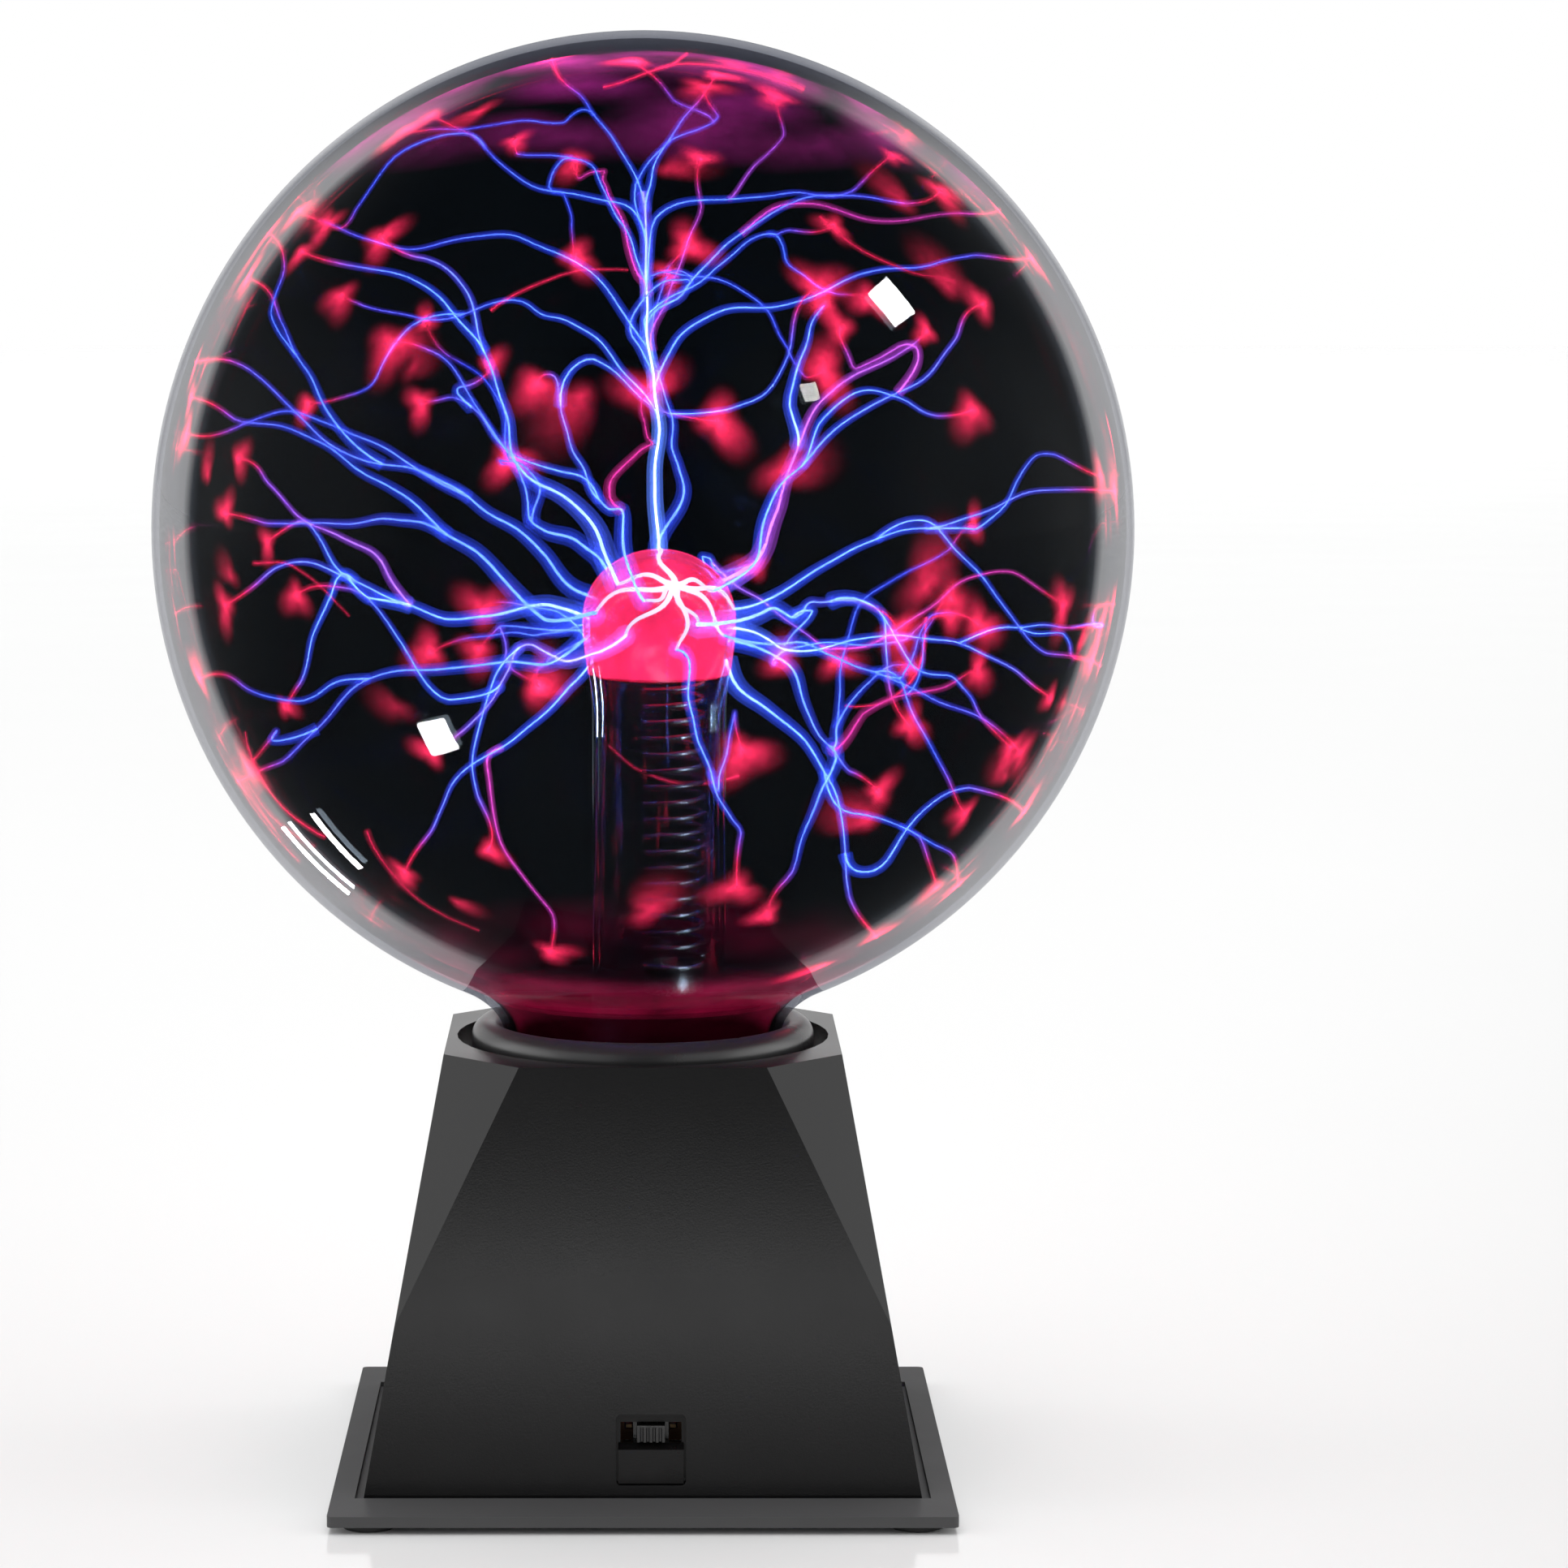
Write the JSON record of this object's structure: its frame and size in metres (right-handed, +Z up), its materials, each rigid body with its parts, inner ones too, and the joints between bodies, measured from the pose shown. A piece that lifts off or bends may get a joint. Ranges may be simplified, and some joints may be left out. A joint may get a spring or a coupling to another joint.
{
  "type": "plasma ball",
  "caption": "Plasma ball: sealed glass globe with a central electrode stem, clamped by its neck in a faceted tower on a square plinth, with a slide switch and a low-voltage inlet.",
  "frame": {"origin": "middle of the footprint, on the plane that the four feet stand on", "axes": "+Z up through the globe, -Y towards the front with the switch, +X to the viewer's right"},
  "size_m": [0.2032, 0.2032, 0.2991],
  "materials": {
    "globe_glass": "clear, smoke-dark in use",
    "stem_glass": "clear",
    "electrode_coat": "matt conductive coat that glows pink-red in use",
    "tower_plastic": "satin black moulded",
    "plinth_plastic": "satin dark grey moulded",
    "black_plastic": "semi-gloss black moulded",
    "gasket_rubber": "smooth dark grey",
    "foot_rubber": "matt black",
    "plated_steel": "zinc plated",
    "spring_steel": "drawn wire",
    "brass": "stamped",
    "phenolic": "brown laminate",
    "board": "green solder mask",
    "ferrite": "matt sintered grey",
    "copper": "enamelled wire",
    "aluminium": "extruded",
    "capacitor_sleeve": "shrink sleeve",
    "capacitor_film": "dipped epoxy",
    "bobbin_plastic": "natural nylon",
    "wire_red": "silicone or PVC insulation",
    "wire_black": "PVC insulation",
    "wire_white": "PVC insulation"
  },
  "bodies": {
    "base": {"globe_glass": "globe_glass", "stem_glass": "stem_glass", "electrode_liner": "electrode_coat", "contact_spring": "spring_steel", "spring_ferrule": "plated_steel", "spring_post": "black_plastic", "neck_gasket": "gasket_rubber", "neck_clamp": "black_plastic", "clamp_screw_1": "plated_steel", "clamp_screw_2": "plated_steel", "clamp_screw_3": "plated_steel", "clamp_screw_4": "plated_steel", "tower_shell": "tower_plastic", "plinth_plate": "plinth_plastic", "foot_1": "foot_rubber", "foot_2": "foot_rubber", "foot_3": "foot_rubber", "foot_4": "foot_rubber", "base_screw_1": "plated_steel", "base_screw_2": "plated_steel", "base_screw_3": "plated_steel", "base_screw_4": "plated_steel", "switch_bezel": "black_plastic", "switch_case": "plated_steel", "switch_contact_board": "phenolic", "switch_terminal_1": "brass", "switch_terminal_2": "brass", "switch_terminal_3": "brass", "switch_terminal_4": "brass", "switch_screw_1": "plated_steel", "switch_screw_2": "plated_steel", "dc_jack_body": "black_plastic", "dc_jack_nut": "plated_steel", "dc_jack_pin": "plated_steel", "dc_jack_contact": "brass", "driver_board": "board", "board_screw_1": "plated_steel", "board_screw_2": "plated_steel", "board_screw_3": "plated_steel", "board_screw_4": "plated_steel", "core_lower": "ferrite", "core_upper": "ferrite", "hv_bobbin": "bobbin_plastic", "hv_coil": "copper", "primary_coil": "copper", "heat_sink": "aluminium", "power_transistor": "black_plastic", "bulk_capacitor": "capacitor_sleeve", "film_capacitor": "capacitor_film", "control_chip": "black_plastic", "microphone": "aluminium", "hv_lead": "wire_red", "supply_lead_positive": "wire_red", "supply_lead_negative": "wire_black", "switch_lead_1": "wire_red", "switch_lead_2": "wire_white"},
    "switch_slider": {"switch_knob": "black_plastic", "switch_wiper": "brass"}
  },
  "joints": [
    {"name": "switch_slide", "type": "slide", "parent": "base", "child": "switch_slider", "axis": [1, 0, 0], "range_m": [-0.003, 0.003]}
  ]
}
